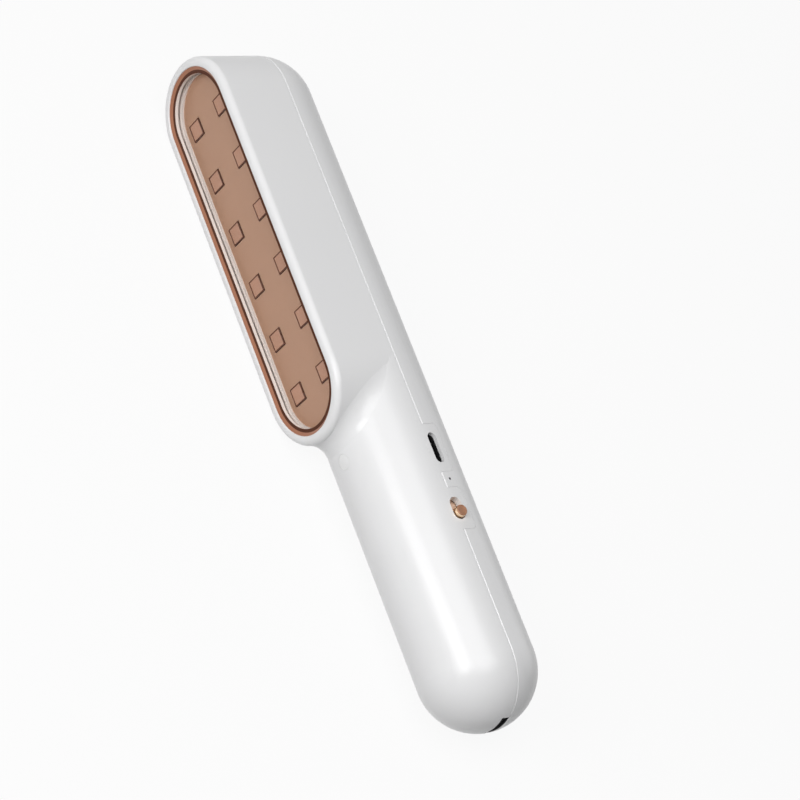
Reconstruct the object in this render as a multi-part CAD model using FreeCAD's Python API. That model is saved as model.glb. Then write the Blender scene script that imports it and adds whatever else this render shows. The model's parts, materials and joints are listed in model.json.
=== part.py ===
import FreeCAD, Part
import math
import os

V = FreeCAD.Vector

# A hand-held light wand: a long head with a sunk oval window, on a round handle.
# The pieces are drawn about the handle's axis: +X runs from the handle's round end (x = 0)
# to the head's tip, +Y faces the way the window faces, and +Z is the side with the
# charging socket and the switch. Millimetres throughout. save() moves the finished wand
# so that it lies on its other side, with the middle of its footprint at the origin.

# Outer form
HANDLE_LENGTH = 84.2      # handle's round end to the head's end wall
HEAD_LENGTH = 114.2
RADIUS = 15.8             # handle radius, and half the head's width
HEAD_FRONT = 20.25        # rim face, in front of the handle's axis
RIM_ROUND = 1.7           # outer edge of the rim
NECK_ROUND = 5.0          # hollow round where the head's end wall meets the handle, in front
NECK_FADE = 16            # power that makes the round die out late towards the head's sides
NECK_BITE = 0.02          # the round runs this far into both walls, so that it joins them
NECK_LEDGE = 0.1          # and stops this far behind the start of the rim's round
NECK_SWEEP = 0.98         # share of the head's half width that the hollow round reaches
NECK_SLICES = 31
FUSE_TOLERANCE = 0.001
WALL = 2.0

# Parting of the two shells
PARTING_Y = -0.3
SEAM_BEVEL = 0.2
TONGUE_THICKNESS = 0.9
TONGUE_DEPTH = 1.6
FIT = 0.1                 # gap between fixed pieces that slide together in assembly
TAB_REACH = 4.9           # how far the front shell's two tabs pass the parting plane
TAB_CORNER = 1.5
TAB_GAP = 0.05            # between a tab and its notch
SOCKET_TAB_WIDTH = 13.8
SWITCH_TAB_WIDTH = 11.8

# Window and what lies behind it, from the rim backwards
RIM_WIDTH = 2.65
RIM_INNER_ROUND = 0.3
LIP_THICKNESS = 0.45
TRIM_THICKNESS = 1.4
TRIM_PROUD = 1.86         # trim ring stands this far inside the rim's opening
TRIM_BEVEL = 0.95         # width of the trim's sloping front, next to the rim
TRIM_DROP = 0.48          # the flat ledge inside the slope lies this far behind the lip
STACK_GAP = 0.15          # side gap between the shell and the pieces of the window stack
SPACER_UPPER_INSET = 3.05 # spacer ring's three inner walls, measured in from the head's side
SPACER_MIDDLE_INSET = 3.7
SPACER_LOWER_INSET = 4.4
SPACER_UPPER_STEP = 0.87  # heights of its two steps above the reflector
SPACER_LOWER_STEP = 0.45
SPACER_HEIGHT = 2.1
LENS_THICKNESS = 1.0
REFLECTOR_THICKNESS = 1.3
LED_BOARD_THICKNESS = 1.6
SPREADER_THICKNESS = 1.5

# Light-emitting squares
LED_SIZE = 5.0
LED_PROUD = 0.3
LED_GAP = 0.15
LED_ROWS = 6
LED_FROM_END = 16.475     # middle of the first and last rows, from the head's ends
LED_PITCH_CROSS = 13.3

# Screws that clamp the spreader, the board and the reflector together
SCREW_RADIUS = 1.0
SCREW_HEAD_RADIUS = 1.9
SCREW_HEAD_HEIGHT = 1.3
SCREW_BITE = 0.8
SCREW_CLEARANCE = 0.1
SCREW_SLOT = 0.5

# Posts that carry the window stack
POST_RADIUS = 2.2
POST_CROSS = 8.0
POST_ROWS = 3

# Battery and its cradle
BATTERY_LENGTH = 65.0
BATTERY_CAP_RADIUS = 3.2
BATTERY_CAP_HEIGHT = 1.0
BATTERY_START = 13.8
BATTERY_SIDE_GAP = 0.4
ELECTRONICS_SPACE = 9.0   # left beside the battery for the control board and its parts
CRADLE_GAP = 0.2
RIB_THICKNESS = 1.6
BATTERY_TAB_WIDTH = 6.0
BATTERY_TAB_THICKNESS = 0.3
FOAM_THICKNESS = 3.0
FOAM_INSET = 3.2          # foam's sides lie this far inside the battery's round
FRONT_RIBS = (0.3, 0.62)  # where the ribs stand, as shares of the battery's length
REAR_RIBS = (0.12, 0.46, 0.8)

# Control board, side on to the socket and the switch
BOARD_FROM_HEAD = 0.2     # these are measured back along the handle from the head
BOARD_LENGTH = 38.0
BOARD_EDGE_GAP = 1.77     # between the board's front edges and the wall
BOARD_THICKNESS = 1.2
BOARD_OVER_BATTERY = 1.2
GUIDE_LENGTH = 3.0
GUIDE_WIDTH = 6.0
GUIDE_LIP = 1.2

# Charging socket
SOCKET_FROM_HEAD = 12.4
SOCKET_Y = -1.75
SOCKET_MOUTH_LENGTH = 8.6
SOCKET_MOUTH_WIDTH = 2.8
SOCKET_SHELL_LENGTH = 8.94
SOCKET_SHELL_WIDTH = 3.26
SOCKET_SHELL_WALL = 0.3
SOCKET_TONGUE_LENGTH = 6.7
SOCKET_TONGUE_WIDTH = 0.7
SOCKET_TONGUE_SHORT = 0.8
SOCKET_SKIN = 1.35        # wall left in front of the socket's shell

# Slide switch
SWITCH_FROM_HEAD = 29.7
SWITCH_Y = -0.93
SWITCH_TRAVEL = 2.4
SLIDE_CLEARANCE = 0.32
SLIDE_END_GAP = 0.4
KNOB_RADIUS = 1.55
KNOB_PROUD = 1.4
KNOB_ROUND = 0.3
SHUTTER_WIDTH = 5.4
SHUTTER_THICKNESS = 0.8
SHUTTER_LAP = 0.5         # shutter still covers the slot by this much at each limit
ACTUATOR_SIZE = 1.5
ACTUATOR_DEPTH = 2.6      # how far the actuator reaches down into the switch housing
SWITCH_BODY_LENGTH = 8.6
SWITCH_BODY_WIDTH = 4.4
SWITCH_TOP_GAP = 0.9      # between the housing's top and the knob's shutter
FORK_DEPTH = 0.4          # the actuator's end sits this deep in the shutter

# Status light beside the socket, and indicator at the neck
STATUS_FROM_HEAD = 21.45
STATUS_Y = -2.3
STATUS_LED_SIZE = 1.6
STATUS_LED_HEIGHT = 0.7
PIPE_TIP_RADIUS = 0.35
PIPE_BODY_RADIUS = 1.0
PIPE_HOLE_GAP = 0.05
PIPE_SHOULDER_GAP = 0.3
PIPE_SINK = 0.15
INDICATOR_FROM_HEAD = 6.9
INDICATOR_RADIUS = 2.1
INDICATOR_FLANGE_RADIUS = 2.9
INDICATOR_FLANGE = 0.9
INDICATOR_BOARD_LENGTH = 12.0
INDICATOR_BOARD_WIDTH = 7.0
INDICATOR_BOARD_THICKNESS = 1.0
INDICATOR_LED_SIZE = 2.0
INDICATOR_LED_HEIGHT = 0.9
INDICATOR_AIR = 0.6       # between the indicator's light and its lens
INDICATOR_POST_RADIUS = 1.2

# Parts on the control board
INDUCTOR_SIZE = 6.0
INDUCTOR_HEIGHT = 2.5
CHIP_LENGTH = 5.0
CHIP_WIDTH = 4.0
CHIP_HEIGHT = 1.5
CAPACITOR_LENGTH = 3.2
CAPACITOR_WIDTH = 1.6
CAPACITOR_HEIGHT = 1.4
CONNECTOR_LENGTH = 4.5
CONNECTOR_WIDTH = 4.0
CONNECTOR_HEIGHT = 2.6
BOARD_MARGIN = 1.0

# Wires
WIRE_RADIUS = 0.6
WIRE_SPREAD = 1.8
WIRE_EDGE = 0.5           # between a wire and the edge of the board it is soldered to
BEND_SHARE = 0.45         # a bend takes up this share of the shorter run beside it

# Lanyard slot at the handle's end
LANYARD_SLOT_LENGTH = 10.6
LANYARD_SLOT_WIDTH = 2.3
LANYARD_POCKET_DEPTH = 8.0
LANYARD_WALL = 1.2
LANYARD_BAR_X = 4.8
LANYARD_BAR_RADIUS = 0.9
LANYARD_BOSS_RADIUS = 2.1
LANYARD_BOSS_HEIGHT = 2.4

# Sizes that follow from the ones above
LENGTH = HANDLE_LENGTH + HEAD_LENGTH
HEAD_MID = HANDLE_LENGTH + HEAD_LENGTH / 2
NECK_CENTRE = HANDLE_LENGTH + RADIUS  # centre of the head's round end at the neck
TIP_CENTRE = LENGTH - RADIUS
END_CENTRE = RADIUS                   # centre of the handle's round end
INNER = RADIUS - WALL
STACK = INNER - STACK_GAP
OPENING = RADIUS - RIM_WIDTH
LIP_Y = HEAD_FRONT - LIP_THICKNESS
TRIM_Y = LIP_Y - TRIM_THICKNESS
REFLECTOR_Y = TRIM_Y - SPACER_HEIGHT
LENS_Y = REFLECTOR_Y + SPACER_UPPER_STEP
LED_PITCH_LONG = (HEAD_LENGTH - 2 * LED_FROM_END) / (LED_ROWS - 1)
LED_BOARD_Y = REFLECTOR_Y - REFLECTOR_THICKNESS
SPREADER_Y = LED_BOARD_Y - LED_BOARD_THICKNESS
STACK_BACK = SPREADER_Y - SPREADER_THICKNESS
BATTERY_RADIUS = INNER - (BATTERY_SIDE_GAP + ELECTRONICS_SPACE) / 2
BATTERY_Z = -(INNER - BATTERY_RADIUS - BATTERY_SIDE_GAP)
BATTERY_END = BATTERY_START + BATTERY_LENGTH
FOAM_SIZE = 2 * (BATTERY_RADIUS - FOAM_INSET)
BOARD_Z = BATTERY_Z + BATTERY_RADIUS + BOARD_OVER_BATTERY
BOARD_TOP = BOARD_Z + BOARD_THICKNESS
BOARD_WIDTH = 2 * (math.sqrt(INNER ** 2 - BOARD_TOP ** 2) - BOARD_EDGE_GAP)
BOARD_END = HANDLE_LENGTH - BOARD_FROM_HEAD
BOARD_START = BOARD_END - BOARD_LENGTH
SOCKET_X = HANDLE_LENGTH - SOCKET_FROM_HEAD
SWITCH_X = HANDLE_LENGTH - SWITCH_FROM_HEAD
STATUS_X = HANDLE_LENGTH - STATUS_FROM_HEAD
SLOT_WIDTH = 2 * (KNOB_RADIUS + SLIDE_CLEARANCE)
SLOT_LENGTH = 2 * (KNOB_RADIUS + SLIDE_END_GAP) + SWITCH_TRAVEL
KNOB_X = SWITCH_X - SWITCH_TRAVEL / 2
INDICATOR_X = HANDLE_LENGTH - INDICATOR_FROM_HEAD
SLOT_FLOOR_Y = PARTING_Y
SLOT_ROOF_Y = PARTING_Y + LANYARD_SLOT_WIDTH
BIG = 2 * LENGTH


def inside_height(radius, offset):
    """Height above the axis of a round wall of that radius, at an offset from its top."""
    return math.sqrt(radius ** 2 - offset ** 2)


def join(shapes, tolerance=0.0):
    """Fuse shapes into one and merge the faces that continue each other."""
    return shapes[0].fuse(shapes[1:], tolerance).removeSplitter()


def cut(shape, tools):
    """Cut tools from a shape one by one and merge the faces that continue each other."""
    for tool in tools:
        shape = shape.cut(tool)
    return shape.removeSplitter()


def rounded_wire(corners, at):
    """Closed wire through corners (a, b, radius); at(a, b) gives each point's place."""
    turns = []
    for i, (a, b, radius) in enumerate(corners):
        corner = V(a, b, 0)
        back = (V(*corners[i - 1][:2], 0) - corner).normalize()
        ahead = (V(*corners[(i + 1) % len(corners)][:2], 0) - corner).normalize()
        half = back.getAngle(ahead) / 2
        reach = radius / math.tan(half)
        inward = (back + ahead).normalize() if radius else V()
        crown = corner + inward * (radius / math.sin(half) - radius)
        turns.append((corner + back * reach, crown, corner + ahead * reach, radius))
    edges = []
    for i, (start, crown, end, radius) in enumerate(turns):
        if radius:
            edges.append(Part.Arc(*[at(p.x, p.y) for p in (start, crown, end)]).toShape())
        following = turns[(i + 1) % len(turns)][0]
        if (following - end).Length > 1e-6:
            edges.append(Part.LineSegment(at(end.x, end.y), at(following.x, following.y)).toShape())
    return Part.Wire(edges)


def rectangle(x, y, length, width, radius=0.0):
    """Corners of a rectangle about a middle point."""
    half_length = length / 2
    half_width = width / 2
    return [(x - half_length, y - half_width, radius), (x + half_length, y - half_width, radius),
            (x + half_length, y + half_width, radius), (x - half_length, y + half_width, radius)]


def prism(corners, low, high):
    """Solid with its corners in X and Y, from one height in Z to another."""
    face = Part.Face(rounded_wire(corners, lambda x, y: V(x, y, low)))
    return face.extrude(V(0, 0, high - low))


def block(x, y, z):
    """Box from three (low, high) pairs."""
    return Part.makeBox(x[1] - x[0], y[1] - y[0], z[1] - z[0], V(x[0], y[0], z[0]))


def rod(radius, start, end):
    """Round bar between two points."""
    return Part.makeCylinder(radius, (end - start).Length, start, end - start)


def racetrack(section, low=NECK_CENTRE, high=TIP_CENTRE, low_section=None):
    """Run a section (w, y, radius), w being out from the middle, round a racetrack.

    The racetrack's round ends are centred at x = low and x = high, and the end at low may
    have a section of its own."""
    side = Part.Face(rounded_wire(section, lambda w, y: V(low, y, w)))
    far_side = side.mirror(V(), V(0, 0, 1))
    run = V(high - low, 0, 0)
    end_side = Part.Face(rounded_wire(low_section or section, lambda w, y: V(low, y, w)))
    low_end = end_side.revolve(V(low, 0, 0), V(0, -1, 0), 180)
    high_end = side.translated(run).revolve(V(high, 0, 0), V(0, 1, 0), 180)
    return join([side.extrude(run), far_side.extrude(run), low_end, high_end])


def plate(half_width, back, front):
    """Flat racetrack plate of the head, or a plug of that shape."""
    return racetrack([(0, back, 0), (half_width, back, 0), (half_width, front, 0), (0, front, 0)])


def wire_route(points, radius):
    """Round wire along straight runs joined by tangent arcs as large as the runs allow."""
    edges = []
    start = points[0]
    for before, corner, after in zip(points, points[1:], points[2:]):
        back = (before - corner).normalize()
        ahead = (after - corner).normalize()
        reach = BEND_SHARE * min((before - corner).Length, (after - corner).Length)
        half = back.getAngle(ahead) / 2
        inward = (back + ahead).normalize()
        bend = reach * math.tan(half)
        crown = corner + inward * (bend / math.sin(half) - bend)
        edges.append(Part.LineSegment(start, corner + back * reach).toShape())
        edges.append(Part.Arc(corner + back * reach, crown, corner + ahead * reach).toShape())
        start = corner + ahead * reach
    edges.append(Part.LineSegment(start, points[-1]).toShape())
    path = Part.Wire(edges)
    end = Part.Wire(Part.makeCircle(radius, points[0], points[1] - points[0]))
    return path.makePipeShell([end], True, False)


def neck_ball(side, ahead):
    """Radius and centre of the ball that rolls in the neck's corner, at one bearing.

    The ball grows towards the head's sides, where the corner opens out, and fades there.
    Where the end wall is too low for the ball, the ball rolls on the wall's front edge."""
    radius = NECK_ROUND / ahead * (1 - abs(side) ** NECK_FADE)
    inner = RADIUS - NECK_BITE
    orbit = inner + radius
    edge = HEAD_FRONT - RIM_ROUND - NECK_LEDGE
    reach = radius
    height = orbit * ahead
    if height > edge:
        low = 0.0
        for _ in range(40):
            middle = (low + reach) / 2
            height = math.sqrt(orbit ** 2 - ((inner + middle) * side) ** 2)
            if math.hypot(middle, height - edge) > radius:
                reach = middle
            else:
                low = middle
    return radius, V(NECK_CENTRE - (inner + reach) * ahead, height, (inner + reach) * side)


def neck_fillet():
    """Hollow round between the head's upright end wall and the handle.

    Each slice holds the ball's centre and its two touching points, and its back corner
    is buried in the solid."""
    inner = RADIUS - NECK_BITE
    edge = HEAD_FRONT - RIM_ROUND - NECK_LEDGE
    last = math.asin(NECK_SWEEP)
    wires = []
    for i in range(NECK_SLICES):
        bearing = last * (2 * i / (NECK_SLICES - 1) - 1)
        side = math.sin(bearing)
        ahead = math.cos(bearing)
        radius, centre = neck_ball(side, ahead)
        shrink = inner / (inner + radius)
        on_head = V(NECK_CENTRE - inner * ahead, min(centre.y, edge), inner * side)
        on_handle = V(centre.x, centre.y * shrink, centre.z * shrink)
        chord = (on_head + on_handle) * 0.5
        crown = centre + (chord - centre).normalize() * radius
        buried = chord + V(ahead, -ahead, -2 * side) * (NECK_ROUND + WALL) * 0.5
        wires.append(Part.Wire([Part.Arc(on_head, crown, on_handle).toShape(),
                                Part.LineSegment(on_handle, buried).toShape(),
                                Part.LineSegment(buried, on_head).toShape()]))
    return Part.makeLoft(wires, True, False)


def body_form(radius, front, rim_round, fillet):
    """The wand's outline as one solid: round handle, and a head with upright sides."""
    section = [(0, -radius, 0), (radius, -radius, radius), (radius, front, rim_round), (0, front, 0)]
    neck_section = [(0, 0, 0), (radius, 0, 0), (radius, front, rim_round), (0, front, 0)]
    head = racetrack(section, low_section=neck_section)
    end = Part.makeSphere(radius, V(END_CENTRE, 0, 0))
    handle = join([rod(radius, V(END_CENTRE, 0, 0), V(NECK_CENTRE, 0, 0)), end])
    if fillet:
        handle = handle.fuse(fillet, FUSE_TOLERANCE)
    return handle.fuse(head, FUSE_TOLERANCE).Solids[0]


def seam_groove(direction):
    """Bevel along a shell's outer edge, towards +Y or -Y from the parting plane."""
    spare = 0.2
    deep = RADIUS - SEAM_BEVEL
    section = [(deep, PARTING_Y, 0), (RADIUS + spare, PARTING_Y, 0),
               (RADIUS + spare, PARTING_Y + direction * (SEAM_BEVEL + spare), 0)]
    return racetrack(section, low=END_CENTRE)


def tab_outline(x, width, grow=0.0):
    """Corners of a tab of the front shell, or of its notch when grown."""
    half = width / 2 + grow
    low = PARTING_Y - TAB_REACH - grow
    top = PARTING_Y + 2 * SEAM_BEVEL
    corner = TAB_CORNER + grow
    return [(x - half, low, corner), (x + half, low, corner), (x + half, top, 0), (x - half, top, 0)]


def tabs(grow=0.0):
    """Prisms of the two tabs, through the wall on the socket's side."""
    spans = [(SOCKET_X, SOCKET_TAB_WIDTH), (SWITCH_X, SWITCH_TAB_WIDTH)]
    return [prism(tab_outline(x, width, grow), INNER / 2, BIG) for x, width in spans]


def tongue(thickness, depth):
    """Ring that locates the shells, standing back from the front shell's inner edge."""
    section = [(INNER, PARTING_Y - depth, 0), (INNER + thickness, PARTING_Y - depth, 0),
               (INNER + thickness, PARTING_Y + FIT, 0), (INNER, PARTING_Y + FIT, 0)]
    return racetrack(section, low=END_CENTRE)


def rib(x, side):
    """Half rib across the handle that holds the battery; side is +1 in the front shell."""
    disc = rod(INNER + WALL / 2, V(x - RIB_THICKNESS / 2, 0, 0), V(x + RIB_THICKNESS / 2, 0, 0))
    y_low = PARTING_Y + FIT if side > 0 else -BIG
    y_high = BIG if side > 0 else PARTING_Y - FIT
    kept = block((0, LENGTH), (y_low, y_high), (-BIG, BATTERY_Z + BATTERY_RADIUS - WALL))
    bed = rod(BATTERY_RADIUS + CRADLE_GAP, V(0, 0, BATTERY_Z), V(LENGTH, 0, BATTERY_Z))
    return disc.common(kept).cut(bed)


def rib_places(shares):
    """Positions of ribs along the battery."""
    return [BATTERY_START + BATTERY_LENGTH * share for share in shares]


def lanyard_pocket():
    """Space for a strap behind the slot at the handle's end."""
    return block((-WALL, LANYARD_POCKET_DEPTH), (SLOT_FLOOR_Y, SLOT_ROOF_Y),
                 (-LANYARD_SLOT_LENGTH / 2, LANYARD_SLOT_LENGTH / 2))


def lanyard_box():
    """Outside of the pocket's walls, before the pocket and the parting cut them."""
    half = LANYARD_SLOT_LENGTH / 2 + LANYARD_WALL
    return block((WALL / 2, LANYARD_POCKET_DEPTH + LANYARD_WALL),
                 (SLOT_FLOOR_Y, SLOT_ROOF_Y + LANYARD_WALL), (-half, half))


def lanyard_boss(y_low, y_high):
    """Boss that holds one end of the lanyard bar."""
    return rod(LANYARD_BOSS_RADIUS, V(LANYARD_BAR_X, y_low, 0), V(LANYARD_BAR_X, y_high, 0))


def lanyard_bar_solid(grow=0.0):
    """The bar across the pocket, or its hole when grown."""
    low = SLOT_FLOOR_Y - LANYARD_BOSS_HEIGHT + LANYARD_WALL / 2
    high = SLOT_ROOF_Y + LANYARD_BOSS_HEIGHT - LANYARD_WALL / 2
    return rod(LANYARD_BAR_RADIUS + grow, V(LANYARD_BAR_X, low - grow, 0),
               V(LANYARD_BAR_X, high + grow, 0))


def socket_mouth():
    """Plug opening through the wall."""
    corners = rectangle(SOCKET_X, SOCKET_Y, SOCKET_MOUTH_LENGTH, SOCKET_MOUTH_WIDTH,
                        SOCKET_MOUTH_WIDTH / 2)
    return prism(corners, INNER / 2, BIG)


def socket_roof():
    """Inside of the thinned wall in front of the socket's shell."""
    return inside_height(RADIUS, SOCKET_Y) - SOCKET_SKIN


def socket_pocket():
    """Seat for the socket's shell in the back of the wall."""
    width = SOCKET_SHELL_WIDTH + 2 * FIT
    corners = rectangle(SOCKET_X, SOCKET_Y, SOCKET_SHELL_LENGTH + 2 * FIT, width, width / 2)
    return prism(corners, INNER / 2, socket_roof())


def pin_hole(radius):
    """Hole for the tip of the light pipe."""
    return rod(radius, V(STATUS_X, STATUS_Y, 0), V(STATUS_X, STATUS_Y, BIG))


def switch_slot():
    """Slot that the knob runs in."""
    corners = rectangle(SWITCH_X, SWITCH_Y, SLOT_LENGTH, SLOT_WIDTH, SLOT_WIDTH / 2)
    return prism(corners, INNER / 2, BIG)


def window_opening():
    """Oval opening in the rim, with its inner edge rounded."""
    spare = 1.0
    corners = [(0, LIP_Y - spare, 0), (OPENING, LIP_Y - spare, 0),
               (OPENING, HEAD_FRONT, RIM_INNER_ROUND), (OPENING + spare, HEAD_FRONT, 0),
               (OPENING + spare, HEAD_FRONT + spare, 0), (0, HEAD_FRONT + spare, 0)]
    return racetrack(corners)


def indicator_posts():
    """Two posts inside the front shell that carry the indicator's little board."""
    back = indicator_board_front()
    spread = INDICATOR_BOARD_LENGTH / 2 - INDICATOR_POST_RADIUS
    return [rod(INDICATOR_POST_RADIUS, V(INDICATOR_X + side * spread, back, 0),
                V(INDICATOR_X + side * spread, INNER + WALL / 2, 0)) for side in (-1, 1)]


def indicator_lens_back():
    """Back face of the indicator lens's flange."""
    return inside_height(INNER, INDICATOR_FLANGE_RADIUS) - FIT - INDICATOR_FLANGE


def indicator_board_front():
    """Front face of the indicator's board."""
    return indicator_lens_back() - INDICATOR_AIR - INDICATOR_LED_HEIGHT


def front_shell(outside, hollow):
    """Front casing: rim, window opening, tabs, tongue, and the seats inside."""
    front = block((-BIG, BIG), (PARTING_Y, BIG), (-BIG, BIG))
    tab_zone = tabs()
    skin = cut(outside, [hollow])
    shell = skin.common(front).cut([seam_groove(1), window_opening()])
    flaps = [skin.common(tab) for tab in tab_zone]
    ribs = [rib(x, 1) for x in rib_places(FRONT_RIBS)]
    pocket_walls = lanyard_box().common(outside)
    boss = lanyard_boss(SLOT_ROOF_Y + LANYARD_WALL / 2, SLOT_ROOF_Y + LANYARD_BOSS_HEIGHT)
    shell = join([shell, tongue(TONGUE_THICKNESS, TONGUE_DEPTH)] + flaps + ribs
                 + indicator_posts() + [pocket_walls, boss])
    disc_hole = rod(INDICATOR_RADIUS + FIT / 2, V(INDICATOR_X, 0, 0), V(INDICATOR_X, BIG, 0))
    return cut(shell, [socket_mouth(), socket_pocket(), switch_slot(), disc_hole, lanyard_pocket(),
                       lanyard_bar_solid(FIT / 2), pin_hole(PIPE_BODY_RADIUS)])


def post_places():
    """Where the rear shell's posts meet the back of the window stack."""
    step = 2 * LED_PITCH_LONG
    rows = [HEAD_MID + step * (i - (POST_ROWS - 1) / 2) for i in range(POST_ROWS)]
    return [(x, side * POST_CROSS) for x in rows for side in (-1, 1)]


def rear_shell(outside, hollow):
    """Rear casing: plain back, notches for the tabs, ribs, posts and board guides."""
    rear = block((-BIG, BIG), (-BIG, PARTING_Y), (-BIG, BIG))
    shell = cut(outside, [hollow]).common(rear).cut([seam_groove(-1)])
    posts = [rod(POST_RADIUS, V(x, -inside_height(INNER + WALL / 2, abs(z) + POST_RADIUS), z),
                 V(x, STACK_BACK, z)) for x, z in post_places()]
    ribs = [rib(x, -1) for x in rib_places(REAR_RIBS)]
    floor_low = SLOT_FLOOR_Y - LANYARD_WALL
    half = LANYARD_SLOT_LENGTH / 2 + LANYARD_WALL
    floor = block((WALL / 2, LANYARD_POCKET_DEPTH + LANYARD_WALL), (floor_low, SLOT_FLOOR_Y - FIT / 2),
                  (-half, half)).common(outside)
    boss = lanyard_boss(SLOT_FLOOR_Y - LANYARD_BOSS_HEIGHT, floor_low + FIT)
    shell = join([shell, floor, boss, foam_stop()] + ribs + board_guides())
    notches = [prism(tab_outline(x, width, TAB_GAP), INNER / 2, BIG)
               for x, width in ((SOCKET_X, SOCKET_TAB_WIDTH), (SWITCH_X, SWITCH_TAB_WIDTH))]
    groove = tongue(TONGUE_THICKNESS + FIT, TONGUE_DEPTH + FIT)
    tip_hole = pin_hole(PIPE_TIP_RADIUS + PIPE_HOLE_GAP)
    shell = cut(shell, [groove, tip_hole, lanyard_bar_solid(FIT / 2)] + notches)
    return join([shell] + posts)


def foam_stop():
    """Rib in the rear shell that the foam behind the battery leans on."""
    x = BATTERY_END + BATTERY_CAP_HEIGHT + BATTERY_TAB_THICKNESS + FOAM_THICKNESS
    disc = rod(INNER + WALL / 2, V(x, 0, 0), V(x + RIB_THICKNESS, 0, 0))
    kept = block((0, LENGTH), (-BIG, PARTING_Y - FIT), (-BIG, BATTERY_Z + FOAM_SIZE / 2))
    return disc.common(kept)


def board_guides():
    """Two slotted blocks in the rear shell that the control board slides into."""
    guides = []
    slot = block((BOARD_START - FIT, BOARD_END + FIT), (-BOARD_WIDTH / 2 - FIT, BIG),
                 (BOARD_Z - FIT / 2, BOARD_TOP + FIT / 2))
    for x in (BOARD_START, BOARD_END):
        outer = block((x - GUIDE_LENGTH / 2, x + GUIDE_LENGTH / 2),
                      (-BIG, -BOARD_WIDTH / 2 + GUIDE_WIDTH), (BOARD_Z - GUIDE_LIP, BOARD_TOP + WALL))
        inside = rod(INNER + WALL / 2, V(0, 0, 0), V(LENGTH, 0, 0))
        guides.append(outer.common(inside).cut(slot))
    return guides


def trim_ring():
    """Coloured ring just inside the rim: a sloping front that ends in a narrow flat ledge."""
    inner = OPENING - TRIM_PROUD
    ledge_y = LIP_Y - TRIM_DROP
    return racetrack([(inner, TRIM_Y, 0), (STACK, TRIM_Y, 0), (STACK, LIP_Y, 0), (OPENING, LIP_Y, 0),
                      (OPENING - TRIM_BEVEL, ledge_y, 0), (inner, ledge_y, 0)])


def spacer_ring():
    """Pale ring with two fine steps, which seats the clear window."""
    upper = RADIUS - SPACER_UPPER_INSET
    middle = RADIUS - SPACER_MIDDLE_INSET
    lower = RADIUS - SPACER_LOWER_INSET
    low_step = REFLECTOR_Y + SPACER_LOWER_STEP
    return racetrack([(lower, REFLECTOR_Y, 0), (STACK, REFLECTOR_Y, 0), (STACK, TRIM_Y, 0),
                      (upper, TRIM_Y, 0), (upper, LENS_Y, 0), (middle, LENS_Y, 0),
                      (middle, low_step, 0), (lower, low_step, 0)])


def window_lens():
    """Clear flat window, seated on the spacer's upper step."""
    edge = RADIUS - SPACER_UPPER_INSET - FIT
    return plate(edge, LENS_Y, LENS_Y + LENS_THICKNESS)


def led_places():
    """Middles of the light-emitting squares, in X and Z."""
    first = HEAD_MID - LED_PITCH_LONG * (LED_ROWS - 1) / 2
    return [(first + LED_PITCH_LONG * row, side * LED_PITCH_CROSS / 2)
            for row in range(LED_ROWS) for side in (-1, 1)]


def square_post(x, z, size, back, front):
    """Square block standing along Y."""
    half = size / 2
    return block((x - half, x + half), (back, front), (z - half, z + half))


def screw_places():
    """Screws on the middle line, between rows of squares."""
    return [HEAD_MID + LED_PITCH_LONG * step for step in (-2, -1, 1, 2)]


def screw_hole(x, back, front):
    """Clearance hole for one of the stack's screws."""
    return rod(SCREW_RADIUS + SCREW_CLEARANCE, V(x, back, 0), V(x, front, 0))


def reflector_plate():
    """Coloured plate that the squares stand through."""
    holes = [square_post(x, z, LED_SIZE + 2 * LED_GAP, LED_BOARD_Y - WALL, REFLECTOR_Y + WALL)
             for x, z in led_places()]
    bites = [rod(SCREW_RADIUS, V(x, LED_BOARD_Y, 0), V(x, LED_BOARD_Y + SCREW_BITE, 0))
             for x in screw_places()]
    return cut(plate(STACK, LED_BOARD_Y, REFLECTOR_Y), holes + bites)


def led_packages():
    """The twelve light-emitting squares."""
    squares = [square_post(x, z, LED_SIZE, LED_BOARD_Y, REFLECTOR_Y + LED_PROUD)
               for x, z in led_places()]
    return Part.makeCompound(squares)


def led_board():
    """Board that carries the squares."""
    holes = [screw_hole(x, SPREADER_Y - WALL, LED_BOARD_Y + WALL) for x in screw_places()]
    return cut(plate(STACK, SPREADER_Y, LED_BOARD_Y), holes)


def wire_notch():
    """Notch at the neck end of the heat spreader, where wires reach the board."""
    low = NECK_CENTRE - STACK
    return block((low - WALL, low + 2 * WIRE_SPREAD + WALL), (STACK_BACK - WALL, SPREADER_Y),
                 (-2 * WIRE_SPREAD, 2 * WIRE_SPREAD))


def heat_spreader():
    """Metal plate behind the board."""
    holes = [screw_hole(x, STACK_BACK - WALL, SPREADER_Y + WALL) for x in screw_places()]
    return cut(plate(STACK, STACK_BACK, SPREADER_Y), holes + [wire_notch()])


def stack_screws():
    """Pan-head screws through the spreader and the board into the reflector."""
    screws = []
    for x in screw_places():
        shank = rod(SCREW_RADIUS, V(x, STACK_BACK, 0), V(x, LED_BOARD_Y + SCREW_BITE, 0))
        head = rod(SCREW_HEAD_RADIUS, V(x, STACK_BACK - SCREW_HEAD_HEIGHT, 0), V(x, STACK_BACK, 0))
        back_edge = [e for e in head.Edges if e.BoundBox.YMax < STACK_BACK - SCREW_HEAD_HEIGHT / 2]
        head = head.makeChamfer(SCREW_HEAD_HEIGHT / 4, back_edge)
        slot = block((x - SCREW_SLOT / 2, x + SCREW_SLOT / 2),
                     (STACK_BACK - 2 * SCREW_HEAD_HEIGHT, STACK_BACK - SCREW_HEAD_HEIGHT / 2),
                     (-SCREW_HEAD_RADIUS, SCREW_HEAD_RADIUS))
        screws.append(join([shank, head]).cut(slot))
    return Part.makeCompound(screws)


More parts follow.
